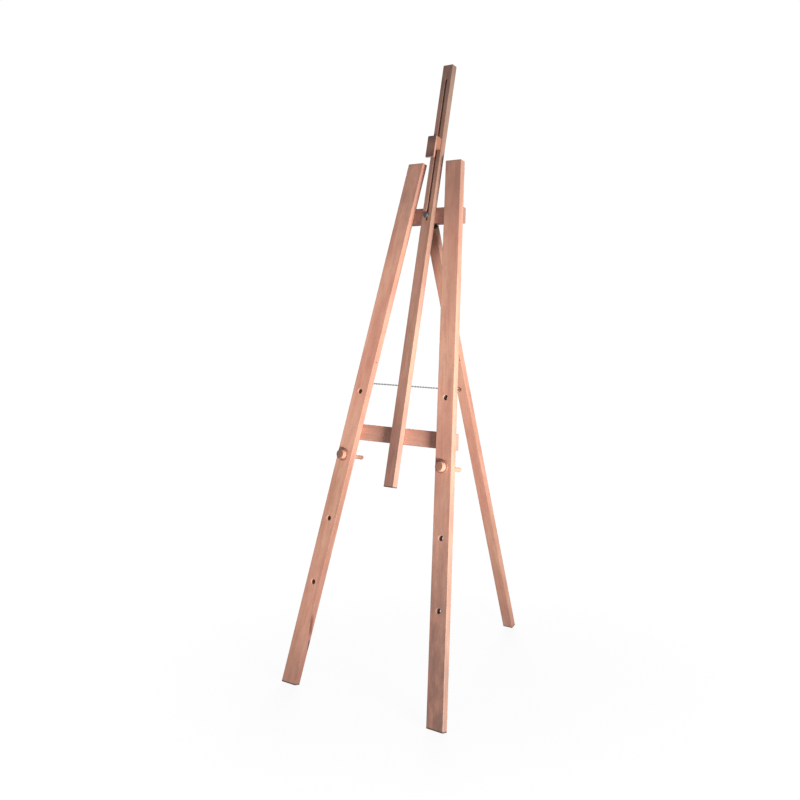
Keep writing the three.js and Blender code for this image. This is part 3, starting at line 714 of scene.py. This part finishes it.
def crossbar_drills(bar_z, upper):
    """Countersunk screw holes and, on the upper bar, the bolt's hole and the hinge's pilots."""
    def drills(cutter):
        for sign in (-1, 1):
            for x, z in screw_places(sign, bar_z):
                profile = [(WOOD_SCREW_HOLE, BOARD - 1), (WOOD_SCREW_HOLE, BAR_BACK - 2.7)]
                profile += [(4.15, BAR_BACK - 0.2), (4.4, BAR_BACK + 1)]
                drill(cutter, x, z, profile, sides=32)
        if upper:
            profile = eased_hole(BOLT_HOLE_RADIUS, 0.4, BOARD + GAP, BAR_BACK)
            drill(cutter, 0, BOLT_Z, profile, sides=32)
            for x in HINGE_SCREWS_X:
                profile = [(HINGE_SCREW_HOLE, -1), (HINGE_SCREW_HOLE, 14.5)]
                stand = Matrix.Translation((x, HINGE_SCREW_Y, BAR_BOTTOM))
                drill(cutter, 0, 0, profile, SLOPE @ stand @ Matrix.Rotation(pi / 2, 4, "X"), 16)

    return drills


def mast_slot(cutter):
    """One long slot with round ends and softened rims."""
    half = SLOT["width"] / 2
    rings = []
    for radius, y in eased_hole(half, 0.5, GAP, BOARD, 3):
        top = [(u, y, v) for u, v in arc(radius, 0, 180, 12, (0, SLOT["top"] - half))]
        foot = [(u, y, v) for u, v in arc(radius, 180, 360, 12, (0, SLOT["bottom"] + half))]
        rings.append(top + foot)
    slot = loft(bmesh.new(), rings)
    slot.transform(SLOPE)
    add_to(cutter, slot)


def block_drills(cutter):
    """The holder bolt's hole, with a pocket in front for its head."""
    wide, floor = HEAD_POCKET["radius"], BLOCK_FRONT + HEAD_POCKET["depth"]
    profile = [(wide, BLOCK_FRONT - 1), (wide, floor)]
    profile += [(BOLT_HOLE_RADIUS, floor + 0.01), (BOLT_HOLE_RADIUS, 1)]
    drill(cutter, 0, HOLDER_Z, profile)


def rear_drills(cutter):
    """The hinge's pilots in the top end, the chain's eye and a spare hole in the front face."""
    for x in HINGE_SCREWS_X:
        profile = [(HINGE_SCREW_HOLE, -14.8), (HINGE_SCREW_HOLE, 0)]
        stand = Matrix.Translation((x, HINGE_SCREW_Y - HINGE_Y, -LEAF_THICKNESS))
        drill(cutter, 0, 0, profile, REAR @ stand @ Matrix.Rotation(pi / 2, 4, "X"), 16)
    drill(cutter, 0, -EYE_REAR_DROP, eye_hole(REAR_FRONT, 1)[::-1], REAR, 20)
    spare = [(SPARE_HOLE_LIP, REAR_FRONT - 1), (SPARE_HOLE_LIP, REAR_FRONT)]
    spare += [(SPARE_HOLE_RADIUS, REAR_FRONT + 0.3), (SPARE_HOLE_RADIUS, REAR_FRONT + SPARE_HOLE_DEPTH)]
    drill(cutter, *SPARE_HOLE_REAR, spare, REAR, 24)


# How far up the feet painted shade reaches, like a contact shadow.
FOOT_SHADE = 0.005
# The left leg's narrow sides grow darker towards the foot (side).
make_board(
    "left_leg", 1.0, leg_drills(-1), tip=FOOT_SHADE, tone=(1.12, 1.1, 1.08),
    low=(0.3, 0.16), high=(0.45, 0.38), side=((0.52, 0.51, 0.52), (0.84, 0.83, 0.85)),
    scuff=(-0.025, 0.155),
)
# Painted shade where the light falls off down most of the right leg (low), and painted light on its narrow
# sides (side).
make_board(
    "right_leg", 2.0, leg_drills(1), tip=FOOT_SHADE, tone=(0.95, 0.91, 0.91),
    low=(0.7, 1.05), high=(0.42, 0.26), side=((0.9, 1.05, 1.1), (1.05, 1.15, 1.15)),
)
make_board("upper_crossbar", 3.0, crossbar_drills(UPPER_BAR_Z, True), tone=(0.89, 0.92, 1.0))
make_board("lower_crossbar", 4.0, crossbar_drills(LOWER_BAR_Z, False), tone=(0.93, 0.93, 0.94))
# Painted light on the mast's narrow sides (side), and a weaker painted shade in its slot (bore).
make_board(
    "mast", 5.0, mast_slot, tip=0.004, bore=0.3, tone=(0.7, 0.68, 0.69),
    low=(0.42, 0.38), high=(0.58, 0.55), side=((1.25, 1.4, 1.45), (1.0, 1.2, 1.22)),
)
# The rear leg's top end darkens with grime and with painted shade under the crossbar (high).
make_board(
    "rear_leg", 6.0, rear_drills, tip=FOOT_SHADE, tone=(0.85, 0.83, 0.83),
    low=(0.28, 0.15), high=(0.38, 0.45),
)
make_board(
    "holder_block", 7.0, block_drills, ease=0.9,
    tone=(0.73, 0.66, 0.58), low=(0.2, 0.01), high=(0.2, 0.01),
)
# Painted shade on the plate's broad faces (face).
make_board(
    "holder_plate", 8.0, ease=1.0, slot="beech_plate",
    face=(0.38, 0.39, 0.4), low=(0.5, 0.03), high=(0.5, 0.03),
)


# ------------------------------------------------------------------ turned pegs
DOWEL_RADIUS = 6.25
DOWEL_FRONT = -13
DOWEL_BACK = 80
SOCKET_RADIUS = DOWEL_RADIUS + GAP


def peg_head_profile():
    """From the bottom of the dowel's socket, round the flange, to the middle of the knob."""
    socket_floor = DOWEL_FRONT - GAP
    socket = [(0, socket_floor), (SOCKET_RADIUS, socket_floor), (SOCKET_RADIUS, -0.8), (7.0, -GAP)]
    flange_back = [(16.3, -GAP)] + arc(1.2, 90, 0, 4, (16.3, -1.5))[1:]
    flange_front = arc(1.6, 0, -80, 5, (15.9, -5.0))
    cove = arc(1.6, 100, 190, 6, (14.0, -8.3))
    knob = arc(3.0, 60, -90, 9, (10.0, -17.6)) + [(7, -20.68), (3, -20.78), (0, -20.8)]
    return socket + flange_back + flange_front + cove + knob


def dowel_profile():
    """A long round rod, its front end chamfered and its back end rounded."""
    front = [(0, DOWEL_FRONT), (DOWEL_RADIUS - 1.5, DOWEL_FRONT), (DOWEL_RADIUS, DOWEL_FRONT + 1.5)]
    back = [(DOWEL_RADIUS, 78.6), (6.0, 79.4), (5.4, 79.9), (4.6, DOWEL_BACK), (0, DOWEL_BACK)]
    return front + back


def turned_coordinates(obj, center, seed_turn):
    """Wood coordinates for a turned piece, its rings turned about the axis by seed_turn."""
    axis = (SLOPE.to_3x3() @ Vector((0, 1, 0))).normalized()
    side = Vector((cos(seed_turn), 0, 0)) + axis.cross(Vector((1, 0, 0))) * sin(seed_turn)
    wood_coordinates(obj, center, side.normalized(), axis.cross(side).normalized(), axis)


TURNED = {
    "head": {"profile": peg_head_profile(), "sides": 72, "turn": 0.4},
    "dowel": {"profile": dowel_profile(), "sides": 48, "turn": 1.7},
}


def add_peg_part(node, part, sign):
    """One turned piece of the peg on one leg."""
    x = sign * leg_half(PEG_Z)
    turned = lathe(bmesh.new(), TURNED[part]["profile"], TURNED[part]["sides"], x, PEG_Z)
    turned.transform(SLOPE)
    obj = mesh_object(node + "_turned", turned)
    turn = TURNED[part]["turn"] + sign
    turned_coordinates(obj, SLOPE @ Vector((x, 0, PEG_Z)), turn)
    shade(obj, 40)
    finish = beech(node + "_beech", 9 + TURNED[part]["turn"] + sign, (0.02, 0.02), turned=True)
    adopt(obj, node, finish)


for side_name, side_sign in (("left", -1), ("right", 1)):
    for part in TURNED:
        add_peg_part(f"{side_name}_peg_{part}", part, side_sign)


# ------------------------------------------------------------------ bolts, washers and wing nuts
PLATED = zinc("zinc_fittings", 1.0, 0.8, (1, 0.93, 0.84), 0.54)
SCREW_STEEL = zinc("zinc_screws", 2.0, 0.85, (1, 0.96, 0.88))
CHAIN_STEEL = zinc("zinc_chain", 3.0, 0.22, dullness=0.5)
EYE_BRONZE = zinc("zinc_eyes", 5.0, 1.0, (1, 0.7, 0.5), 0.4)
HINGE_STEEL = zinc("zinc_hinge", 4.0, 0.8, (1, 0.8, 0.6), 0.4)


BOLT_HEAD = {"radius": 6.5, "height": 4, "rim": 0.9, "dome": 6.3}
THREAD = {"pitch": 1.0, "depth": 0.5, "from_head": 6, "steps": 6}


def bolt_head(under):
    """A domed head's profile, from the middle of its top to the shank, its underside at under."""
    rise = BOLT_HEAD["height"] - BOLT_HEAD["rim"]
    profile = [(0, under - BOLT_HEAD["height"])]
    for i in range(1, 9):
        angle = i / 8 * pi / 2
        profile.append((BOLT_HEAD["dome"] * sin(angle), under - BOLT_HEAD["rim"] - rise * cos(angle)))
    profile += [(BOLT_HEAD["radius"], under - 0.6), (BOLT_HEAD["radius"] - 0.1, under - 0.1)]
    return profile + [(BOLT_HEAD["radius"] - 0.3, under), (BOLT_RADIUS, under)]


def thread_rings(start, stop, sides):
    """Rings of a screw thread from start to stop, which fades in over its first turn."""
    pitch, steps = THREAD["pitch"], THREAD["steps"]
    rings = []
    for i in range(int((stop - start) / (pitch / steps)) + 1):
        y = start + i * pitch / steps
        fade = min(1, i / steps)
        ring = []
        for k in range(sides):
            phase = (y / pitch - k / sides) % 1
            radius = BOLT_RADIUS - THREAD["depth"] * fade * abs(2 * phase - 1)
            ring.append((radius * cos(tau * k / sides), y, radius * sin(tau * k / sides)))
        rings.append(ring)
    return rings


def add_bolt(node, z, under, end):
    """A domed bolt whose thread stands out of its wing nut."""
    sides = 32
    rings = [circle(max(radius, TINY_CAP), y, sides) for radius, y in bolt_head(under)]
    rings += thread_rings(under + THREAD["from_head"], end - 1, sides)
    rings += [circle(2.3, end - 0.3, sides), circle(1.9, end, sides), circle(TINY_CAP, end, sides)]
    bm = loft(bmesh.new(), rings)
    bm.transform(SLOPE @ Matrix.Translation((0, 0, z)))
    obj = mesh_object(node + "_threaded", bm)
    shade(obj, 40)
    adopt(obj, node, PLATED)


def add_washer(node, z, y0):
    """A stamped washer from y0 back: one rounded rim and one crisp one."""
    outer, thick, bore = WASHER["radius"], WASHER["thickness"], BOLT_HOLE_RADIUS
    profile = [(bore, y0 + 0.25), (bore + 0.25, y0), (outer - 0.6, y0)]
    profile += [(outer - 0.2, y0 + 0.15), (outer, y0 + 0.5), (outer, y0 + thick - 0.15)]
    profile += [(outer - 0.15, y0 + thick), (bore + 0.15, y0 + thick), (bore, y0 + thick - 0.15)]
    bm = loft(bmesh.new(), [circle(radius, y, 56) for radius, y in profile], closed=True)
    bm.transform(SLOPE @ Matrix.Translation((0, 0, z)))
    obj = mesh_object(node + "_stamped", bm)
    shade(obj, 40)
    adopt(obj, node, PLATED)


CAST_VOXEL = 0.00042


def add_wing_nut(node):
    """The CAD nut with its plates and hub melted together, as a casting is."""
    mesh = NODES[node].data.copy()
    obj = bpy.data.objects.new(node + "_cast", mesh)
    bpy.context.scene.collection.objects.link(obj)
    melt = obj.modifiers.new("melt", "REMESH")
    melt.mode = "VOXEL"
    melt.voxel_size = CAST_VOXEL
    soften = obj.modifiers.new("soften", "SMOOTH")
    soften.factor = 0.5
    soften.iterations = 5
    graph = bpy.context.evaluated_depsgraph_get()
    cast = bpy.data.meshes.new_from_object(obj.evaluated_get(graph))
    obj.modifiers.clear()
    obj.data = cast
    for attribute in [a.name for a in cast.attributes if a.name.startswith("custom")]:
        cast.attributes.remove(cast.attributes[attribute])
    cast.polygons.foreach_set("use_smooth", [True] * len(cast.polygons))
    adopt(obj, node, PLATED)


BOLT_STICKS_OUT = 4
NUT_STACK = GAP + WASHER["thickness"] + GAP + NUT_HEIGHT + BOLT_STICKS_OUT
add_bolt("mast_bolt", BOLT_Z, -WASHER["thickness"] - GAP, BAR_BACK + NUT_STACK)
add_bolt("holder_bolt", HOLDER_Z, BLOCK_FRONT + HEAD_POCKET["depth"] - GAP, BOARD + NUT_STACK)
add_washer("mast_front_washer", BOLT_Z, -WASHER["thickness"])
add_washer("mast_back_washer", BOLT_Z, BAR_BACK + GAP)
add_washer("holder_back_washer", HOLDER_Z, BOARD + GAP)
add_wing_nut("mast_wing_nut")
add_wing_nut("holder_wing_nut")


# ------------------------------------------------------------------ screws
SCREW_POINT = 4
CROSS = {"reach": 0.56, "width": 0.13, "depth": 0.45, "taper": 0.45}


def add_screw(node, size, matrix):
    """A countersunk screw with a cross recess, its head flat at y = 0 and its tip at -length."""
    head, radius, length, sink = size["head"], size["radius"], size["length"], size["sink"]
    profile = [(0, -length), (radius, SCREW_POINT - length), (radius, -sink), (head, -0.25)]
    profile += [(head - 0.05, -0.05), (head - 0.25, 0), (0, 0)]
    screw = lathe(bmesh.new(), profile, 36)
    obj = mesh_object(node + "_crossed", screw)
    wide, narrow, deep = (CROSS[key] * head for key in ("reach", "width", "depth"))
    for across, along in ((wide, narrow), (narrow, wide)):
        corners = [(across, along), (-across, along), (-across, -along), (across, -along)]
        mouth = [(x, 0.5, z) for x, z in corners]
        floor = [(CROSS["taper"] * x, -deep, CROSS["taper"] * z) for x, z in corners]
        carve(obj, loft(bmesh.new(), [mouth, floor]))
    obj.data.transform(matrix)
    shade(obj, 35)
    adopt(obj, node, SCREW_STEEL)


def add_crossbar_screws(label, bar_z):
    """The four screws of one crossbar, each stopped at its own turn."""
    for side_name, side_sign in (("left", -1), ("right", 1)):
        for index, (x, z) in enumerate(screw_places(side_sign, bar_z), 1):
            turn = Matrix.Rotation(0.7 * index + x, 4, "Y")
            place = SLOPE @ Matrix.Translation((x, BAR_BACK, z)) @ turn
            add_screw(f"{label}_crossbar_screw_{side_name}_{index}", WOOD_SCREW, place)


add_crossbar_screws("upper", UPPER_BAR_Z)
add_crossbar_screws("lower", LOWER_BAR_Z)

for index, x in enumerate(HINGE_SCREWS_X, 1):
    under_bar = Matrix.Translation((x, HINGE_SCREW_Y, HINGE_Z + LEAF_GAP))
    upward = SLOPE @ under_bar @ Matrix.Rotation(-pi / 2, 4, "X")
    add_screw(f"hinge_crossbar_screw_{index}", HINGE_SCREW, upward)
    on_leg = Matrix.Translation((x, HINGE_SCREW_Y - HINGE_Y, -LEAF_GAP))
    downward = REAR @ on_leg @ Matrix.Rotation(pi / 2, 4, "X")
    add_screw(f"hinge_leg_screw_{index}", HINGE_SCREW, downward)


# ------------------------------------------------------------------ hinge
PRESSED_EDGE = 0.2


def is_crisp(edge):
    """True for an outward edge sharper than 40 degrees."""
    return len(edge.link_faces) == 2 and edge.calc_face_angle_signed(0) > radians(40)


def add_hinge_part(node):
    """The CAD solid with its triangles merged and its pressed edges softened."""
    bm = bmesh.new()
    bm.from_mesh(NODES[node].data)
    bmesh.ops.remove_doubles(bm, verts=bm.verts, dist=1e-6)
    bmesh.ops.dissolve_limit(bm, angle_limit=radians(1), verts=bm.verts, edges=bm.edges)
    crisp = [edge for edge in bm.edges if is_crisp(edge)]
    bevel = {"segments": 2, "profile": 0.5, "affect": "EDGES"}
    bmesh.ops.bevel(bm, geom=crisp, offset=TO_METRES * PRESSED_EDGE, **bevel)
    obj = mesh_object(node + "_pressed", bm)
    shade(obj, 35)
    adopt(obj, node, HINGE_STEEL)


for hinge_part in ("hinge_crossbar_leaf", "hinge_leg_leaf", "hinge_pin"):
    add_hinge_part(hinge_part)


# ------------------------------------------------------------------ chain and its eyes
EYE_RING = 4.6
EYE_WIRE = 1.2
EYE_SHANK_END = -13
LINK_WIRE = 0.64
LINK_HALF_WIDTH = 1.5
LINK_PLAY = {"beside": 0.15, "beyond": 0.08}
END_LINK_HALF_WIDTH = EYE_WIRE + LINK_WIRE + LINK_PLAY["beside"]
END_LINK_SEAT = EYE_WIRE + LINK_WIRE + LINK_PLAY["beyond"]
LINKS = 67
FIXED_PART = 0.32


def add_eye(node, matrix):
    """A screw eye: the shank's wire turns into a ring that almost closes."""
    bm = bmesh.new()
    path = [(0, y, 0) for y in (EYE_SHANK_END, -11.8, -8, -4, -1)]
    path += [(0, EYE_STANDOFF - EYE_RING - 0.9, 0)]
    ring = arc(EYE_RING, -76, 254, 40, (0, EYE_STANDOFF))
    path += [(0, v, u) for u, v in ring]
    tube(bm, path, EYE_WIRE, 16)
    collar = [(EYE_WIRE, 0.15), (2.3, 0.25), (2.5, 0.5), (2.2, 0.9), (1.5, 1.2)]
    lathe(bm, collar, 24)
    bm.transform(matrix)
    obj = mesh_object(node + "_wire", bm)
    shade(obj, 50)
    adopt(obj, node, EYE_BRONZE)


FRONT_EYE = SLOPE @ Matrix.Translation((-leg_half(EYE_FRONT_Z), BOARD, EYE_FRONT_Z))
REAR_EYE = REAR @ Matrix.Translation((0, REAR_FRONT, -EYE_REAR_DROP)) @ Matrix.Rotation(pi, 4, "X")
add_eye("chain_eye_front", FRONT_EYE)
add_eye("chain_eye_rear", REAR_EYE)


def link_loop(half_length, half_width):
    """The middle line of one link's wire, as [u, v] about the link's middle."""
    straight = half_length - half_width
    front = arc(half_width, -90, 90, 8, (straight, 0))
    return front + arc(half_width, 90, 270, 8, (-straight, 0))


def add_chain():
    """A taut small-link chain from eye to eye, alternate links a quarter turn apart."""
    ring_a = FRONT_EYE @ Vector((0, EYE_STANDOFF, 0))
    ring_b = REAR_EYE @ Vector((0, EYE_STANDOFF, 0))
    pull = ring_b - ring_a
    in_plane = Vector((0, pull.y, pull.z)).normalized()
    wire_a = ring_a + in_plane * TO_METRES * EYE_RING
    wire_b = ring_b - in_plane * TO_METRES * EYE_RING
    along = (wire_b - wire_a).normalized()
    start = wire_a - along * TO_METRES * END_LINK_SEAT
    span = (wire_b - wire_a).length / TO_METRES + 2 * END_LINK_SEAT
    body = (span - 2 * LINK_WIRE) / LINKS + 2 * LINK_WIRE
    tangent = Vector((1, 0, 0)).cross(in_plane).normalized()
    flat = tangent.cross(along).normalized()
    bm = bmesh.new()
    for i in range(LINKS):
        middle = start + along * TO_METRES * (body / 2 + i * (body - 2 * LINK_WIRE))
        wide = flat if i % 2 == 0 else tangent
        half_width = END_LINK_HALF_WIDTH if i in (0, LINKS - 1) else LINK_HALF_WIDTH
        loop = link_loop(body / 2, half_width)
        path = [middle + (along * u + wide * v) * TO_METRES for u, v in loop]
        tube(bm, path, TO_METRES * LINK_WIRE, 8, closed=True)
    obj = mesh_object("stay_chain_links", bm)
    obj.data.polygons.foreach_set("use_smooth", [True] * len(obj.data.polygons))
    obj.data.materials.append(CHAIN_STEEL)
    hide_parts("stay_chain")
    slack_from = ring_a.lerp(ring_b, FIXED_PART)
    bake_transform(obj, "frame", "rear_leg", slack_from, ring_b)


add_chain()


# ------------------------------------------------------------------ floor, light and camera
AMBIENT = (0.29, 0.3, 0.32, 1)
BACKDROP = (1.02, 1.02, 1.02, 1)
FLOOR_DROP = 0.0002


def add_floor():
    """A wide pale sweep that fades into the white backdrop a metre out."""
    bm = bmesh.new()
    bmesh.ops.create_circle(bm, cap_ends=True, radius=30, segments=96)
    floor = mesh_object("studio_floor", bm)
    floor.location.z = -FLOOR_DROP
    s = Surface("studio_paper")
    place = s.node("TexCoord").outputs["Object"]
    far = s.node("VectorMath", operation="LENGTH")
    s.feed(far.inputs[0], place)
    fade = s.ramp(far.outputs["Value"], 0.3, 1.3, 0.9, 1.0)
    tooth = s.noise(place, (180, 180, 180), 0.0, 3)
    s.feed(s.shader.inputs["Base Color"], s.mix(tooth, (0.86, 0.86, 0.86, 1), (0.9, 0.9, 0.9, 1)))
    s.shader.inputs["Roughness"].default_value = 0.9
    s.shader.inputs["Specular IOR Level"].default_value = 0.1
    glow = s.node("Emission")
    seen = s.node("LightPath").outputs["Is Camera Ray"]
    s.feed(glow.inputs["Color"], s.mix(seen, AMBIENT, BACKDROP))
    blend = s.node("MixShader")
    for socket, value in zip(blend.inputs, (fade, s.shader.outputs[0], glow.outputs[0])):
        s.feed(socket, value)
    output = s.tree.nodes["Material Output"]
    s.feed(output.inputs["Surface"], blend.outputs[0])
    floor.data.materials.append(s.material)


def add_softbox(name, target, azimuth, elevation, distance, size, power, color, spread):
    """An area light. Azimuth 0 shines from the front, 90 from the easel's right."""
    a, e = radians(azimuth), radians(elevation)
    out = Vector((sin(a) * cos(e), -cos(a) * cos(e), sin(e)))
    data = bpy.data.lights.new(name, "AREA")
    data.shape = "RECTANGLE"
    data.size, data.size_y = size
    data.energy = power
    data.color = color
    data.spread = radians(spread)
    light = bpy.data.objects.new(name, data)
    light.location = Vector(target) + out * distance
    light.rotation_euler = out.to_track_quat("Z", "Y").to_euler()
    bpy.context.scene.collection.objects.link(light)


def add_world():
    """White all round as a backdrop, dimmer and cooler as a light."""
    world = bpy.data.worlds.new("studio")
    bpy.context.scene.world = world
    world.use_nodes = True
    nodes, links = world.node_tree.nodes, world.node_tree.links
    path = nodes.new("ShaderNodeLightPath")
    choice = nodes.new("ShaderNodeMix")
    choice.data_type = "RGBA"
    choice.inputs[6].default_value = AMBIENT
    choice.inputs[7].default_value = BACKDROP
    links.new(path.outputs["Is Camera Ray"], choice.inputs[0])
    links.new(choice.outputs[2], nodes["Background"].inputs["Color"])


def add_camera(place, look_down, roll, turn, lens):
    """A camera at a place, tilted down, rolled and turned to the left in degrees."""
    data = bpy.data.cameras.new("photo_view")
    data.lens = lens
    data.sensor_width = 36
    data.clip_start = 0.05
    camera = bpy.data.objects.new("photo_view", data)
    camera.location = place
    camera.rotation_euler = (radians(90 - look_down), radians(roll), radians(turn))
    bpy.context.scene.collection.objects.link(camera)
    bpy.context.scene.camera = camera


add_floor()
add_world()
add_softbox(
    "key", target=(0, -0.1, 0.89), azimuth=64, elevation=-14, distance=2.6,
    size=(0.75, 0.5), power=26, color=(0.98, 0.99, 0.97), spread=80,
)
add_softbox(
    "back", target=(0, 0, 0.8), azimuth=212, elevation=14, distance=3.2,
    size=(1.6, 1.6), power=34, color=(0.98, 0.99, 1), spread=110,
)
add_camera(place=(1.5673, -2.2815, 1.0817), look_down=6.19, roll=0.12, turn=37.03, lens=43.5)
bpy.context.scene.view_settings.view_transform = "Standard"
